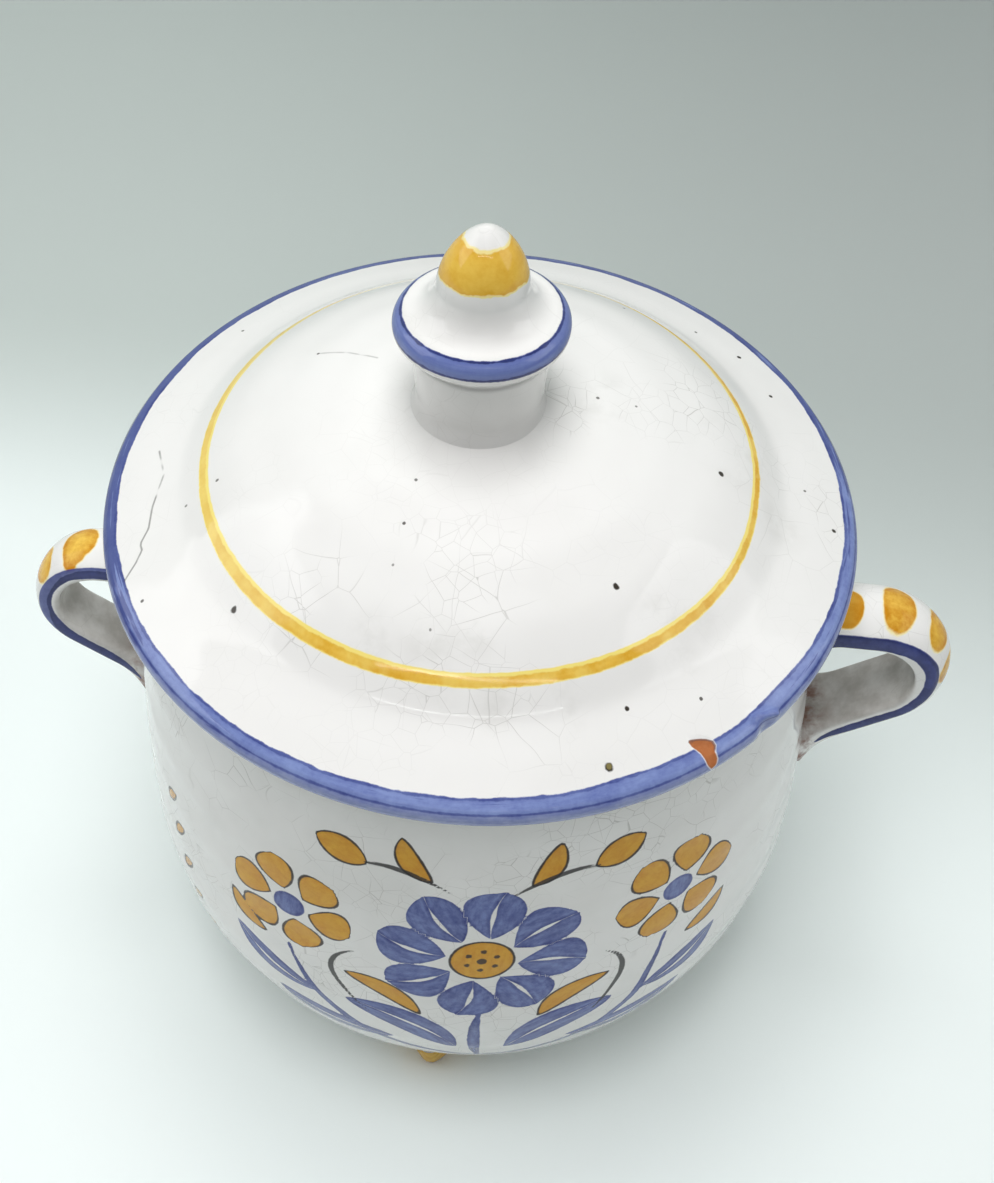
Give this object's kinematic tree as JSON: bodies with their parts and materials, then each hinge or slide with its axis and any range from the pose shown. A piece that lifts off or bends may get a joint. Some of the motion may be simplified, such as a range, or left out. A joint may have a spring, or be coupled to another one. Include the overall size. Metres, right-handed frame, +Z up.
{
  "type": "lidded pot",
  "caption": "Round-bellied glazed earthenware pot on stub feet, with a strap handle at each side and a loose domed lid with a knob, for keeping and serving food.",
  "frame": {"origin": "on the floor, under the middle of the pot", "axes": "+Z up along the pot's axis, +X towards the right handle, -Y towards the front"},
  "size_m": [0.248, 0.19, 0.2612],
  "materials": {
    "white_glaze": "glossy tin glaze with painted flowers",
    "banded_glaze": "glossy tin glaze with blue edges and yellow dabs",
    "ochre_glaze": "glossy glaze",
    "lid_glaze": "glossy tin glaze with a blue lip and a yellow ring",
    "knob_glaze": "glossy tin glaze with a blue edge and a yellow tip"
  },
  "bodies": {
    "pot": {"pot_body": "white_glaze", "handle_left": "banded_glaze", "handle_right": "banded_glaze", "foot_front": "ochre_glaze", "foot_rear_left": "ochre_glaze", "foot_rear_right": "ochre_glaze"},
    "lid": {"lid_plate": "lid_glaze", "lid_knob": "knob_glaze"}
  },
  "joints": [
    {"name": "lid_lift", "type": "slide", "parent": "pot", "child": "lid", "axis": [0, 0, 1], "range_m": [0, 0.12]}
  ]
}
